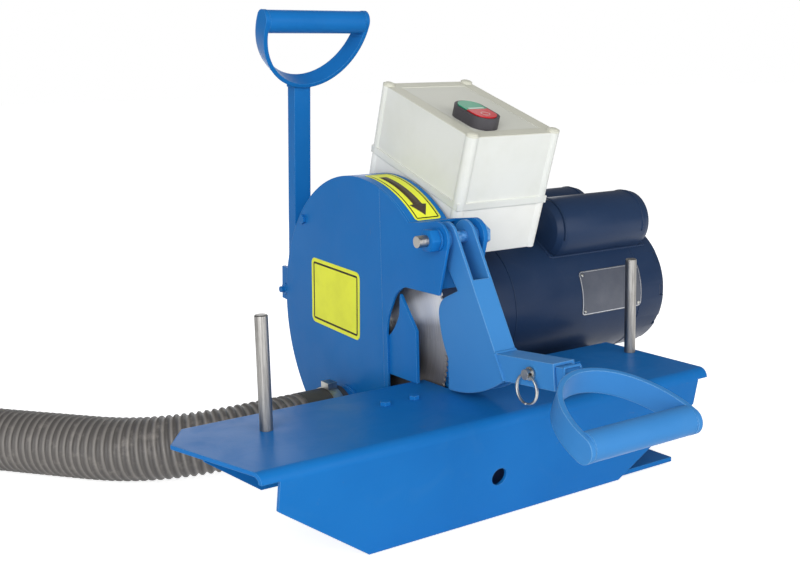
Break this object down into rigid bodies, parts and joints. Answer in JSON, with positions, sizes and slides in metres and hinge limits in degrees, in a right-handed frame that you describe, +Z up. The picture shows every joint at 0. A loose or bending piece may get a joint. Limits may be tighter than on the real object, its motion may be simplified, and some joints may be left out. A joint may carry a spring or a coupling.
{
  "type": "hose cutting machine",
  "caption": "Bench machine that cuts rubber hose: guarded disc blade on an electric motor, hinged press arm with D-handle lever, folded table, control box and dust hose.",
  "frame": {"origin": "middle of the machine's bounding box, without the dust hose and its far cuff, at the level it stands on", "axes": "+X along the table and the blade shaft towards the motor, +Y away from the operator, +Z up"},
  "size_m": [0.8807, 0.7713, 0.5119],
  "materials": {
    "blue_paint": "smooth semi-gloss blue enamel",
    "navy_paint": "semi-gloss dark blue motor enamel",
    "zinc_steel": "dull zinc-plated steel",
    "bright_steel": "ground bright steel",
    "blade_steel": "ground and lightly oiled steel",
    "core_steel": "laminated core steel",
    "box_plastic": "fine-grained light grey moulding",
    "bezel_plastic": "dark grey moulding",
    "green_plastic": "moulded green plastic",
    "red_plastic": "moulded red plastic",
    "switch_plastic": "dark moulding",
    "foot_rubber": "matt black rubber",
    "hose_plastic": "grey flexible ribbed plastic",
    "cuff_plastic": "grey soft plastic"
  },
  "bodies": {
    "base": {"base_plate": "blue_paint", "rubber_feet": "foot_rubber", "foot_bolts": "zinc_steel", "table": "blue_paint", "table_brackets": "blue_paint", "table_bolts": "blue_paint", "left_post": "bright_steel", "right_post": "bright_steel", "post_nuts": "zinc_steel", "guard_back_plate": "blue_paint", "guard_rim": "blue_paint", "guard_front_cover": "blue_paint", "guard_rear_cover": "blue_paint", "guard_foot": "blue_paint", "guard_bolts": "blue_paint", "hose_rest_left": "blue_paint", "hose_rest_right": "blue_paint", "dust_spout": "blue_paint", "hose_sleeve": "cuff_plastic", "hose_clamp": "zinc_steel", "dust_hose": "hose_plastic", "dust_hose_cuff": "cuff_plastic", "motor_front_bell": "navy_paint", "motor_shell": "navy_paint", "motor_rear_bell": "navy_paint", "motor_riser": "blue_paint", "motor_foot": "navy_paint", "start_capacitor_cover": "navy_paint", "run_capacitor_cover": "navy_paint", "stator": "core_steel", "motor_bearings": "bright_steel", "motor_bolts": "zinc_steel", "enclosure_base": "box_plastic", "enclosure_lid": "box_plastic", "lid_screws": "box_plastic", "button_bezel": "bezel_plastic", "contactor": "switch_plastic", "enclosure_bracket": "blue_paint", "handle_lugs": "blue_paint", "tall_stem": "blue_paint", "tall_bow": "blue_paint", "tall_grip": "blue_paint", "stem_bolt": "blue_paint", "pivot_bolt": "zinc_steel", "pivot_nut": "blue_paint"},
    "rotor": {"motor_shaft": "bright_steel", "rotor_core": "core_steel", "blade": "blade_steel", "blade_flanges": "zinc_steel", "arbor_nut": "zinc_steel"},
    "press_arm": {"arm_channel": "blue_paint", "arm_bushes": "zinc_steel", "handle_socket": "blue_paint", "lever_stem": "blue_paint", "lever_bow": "blue_paint", "lever_grip": "blue_paint"},
    "ring_pin": {"lock_pin": "zinc_steel"},
    "pin_ring": {"pull_ring": "bright_steel"},
    "start_button": {"start_button": "green_plastic"},
    "stop_button": {"stop_button": "red_plastic"}
  },
  "joints": [
    {"name": "blade_spin", "type": "hinge", "parent": "base", "child": "rotor", "pos_m": [-0.042, 0.11735, 0.157], "axis": [1, 0, 0], "continuous": true},
    {"name": "press_arm_swing", "type": "hinge", "parent": "base", "child": "press_arm", "pos_m": [-0.042, -0.04565, 0.271], "axis": [1, 0, 0], "range_deg": [-80, 10]},
    {"name": "lock_pin_slide", "type": "slide", "parent": "press_arm", "child": "ring_pin", "axis": [-1, 0, 0], "range_m": [0, 0.045]},
    {"name": "pull_ring_swing", "type": "hinge", "parent": "ring_pin", "child": "pin_ring", "pos_m": [-0.06, -0.1759, 0.15908], "axis": [0, 1, 0], "range_deg": [0, 120]},
    {"name": "start_button_press", "type": "slide", "parent": "base", "child": "start_button", "axis": [0, 0.3231, -0.9464], "range_m": [0, 0.003], "stiffness_N_per_m": 400, "springref_m": -0.001},
    {"name": "stop_button_press", "type": "slide", "parent": "base", "child": "stop_button", "axis": [0, 0.3231, -0.9464], "range_m": [0, 0.003], "stiffness_N_per_m": 400, "springref_m": -0.001}
  ]
}
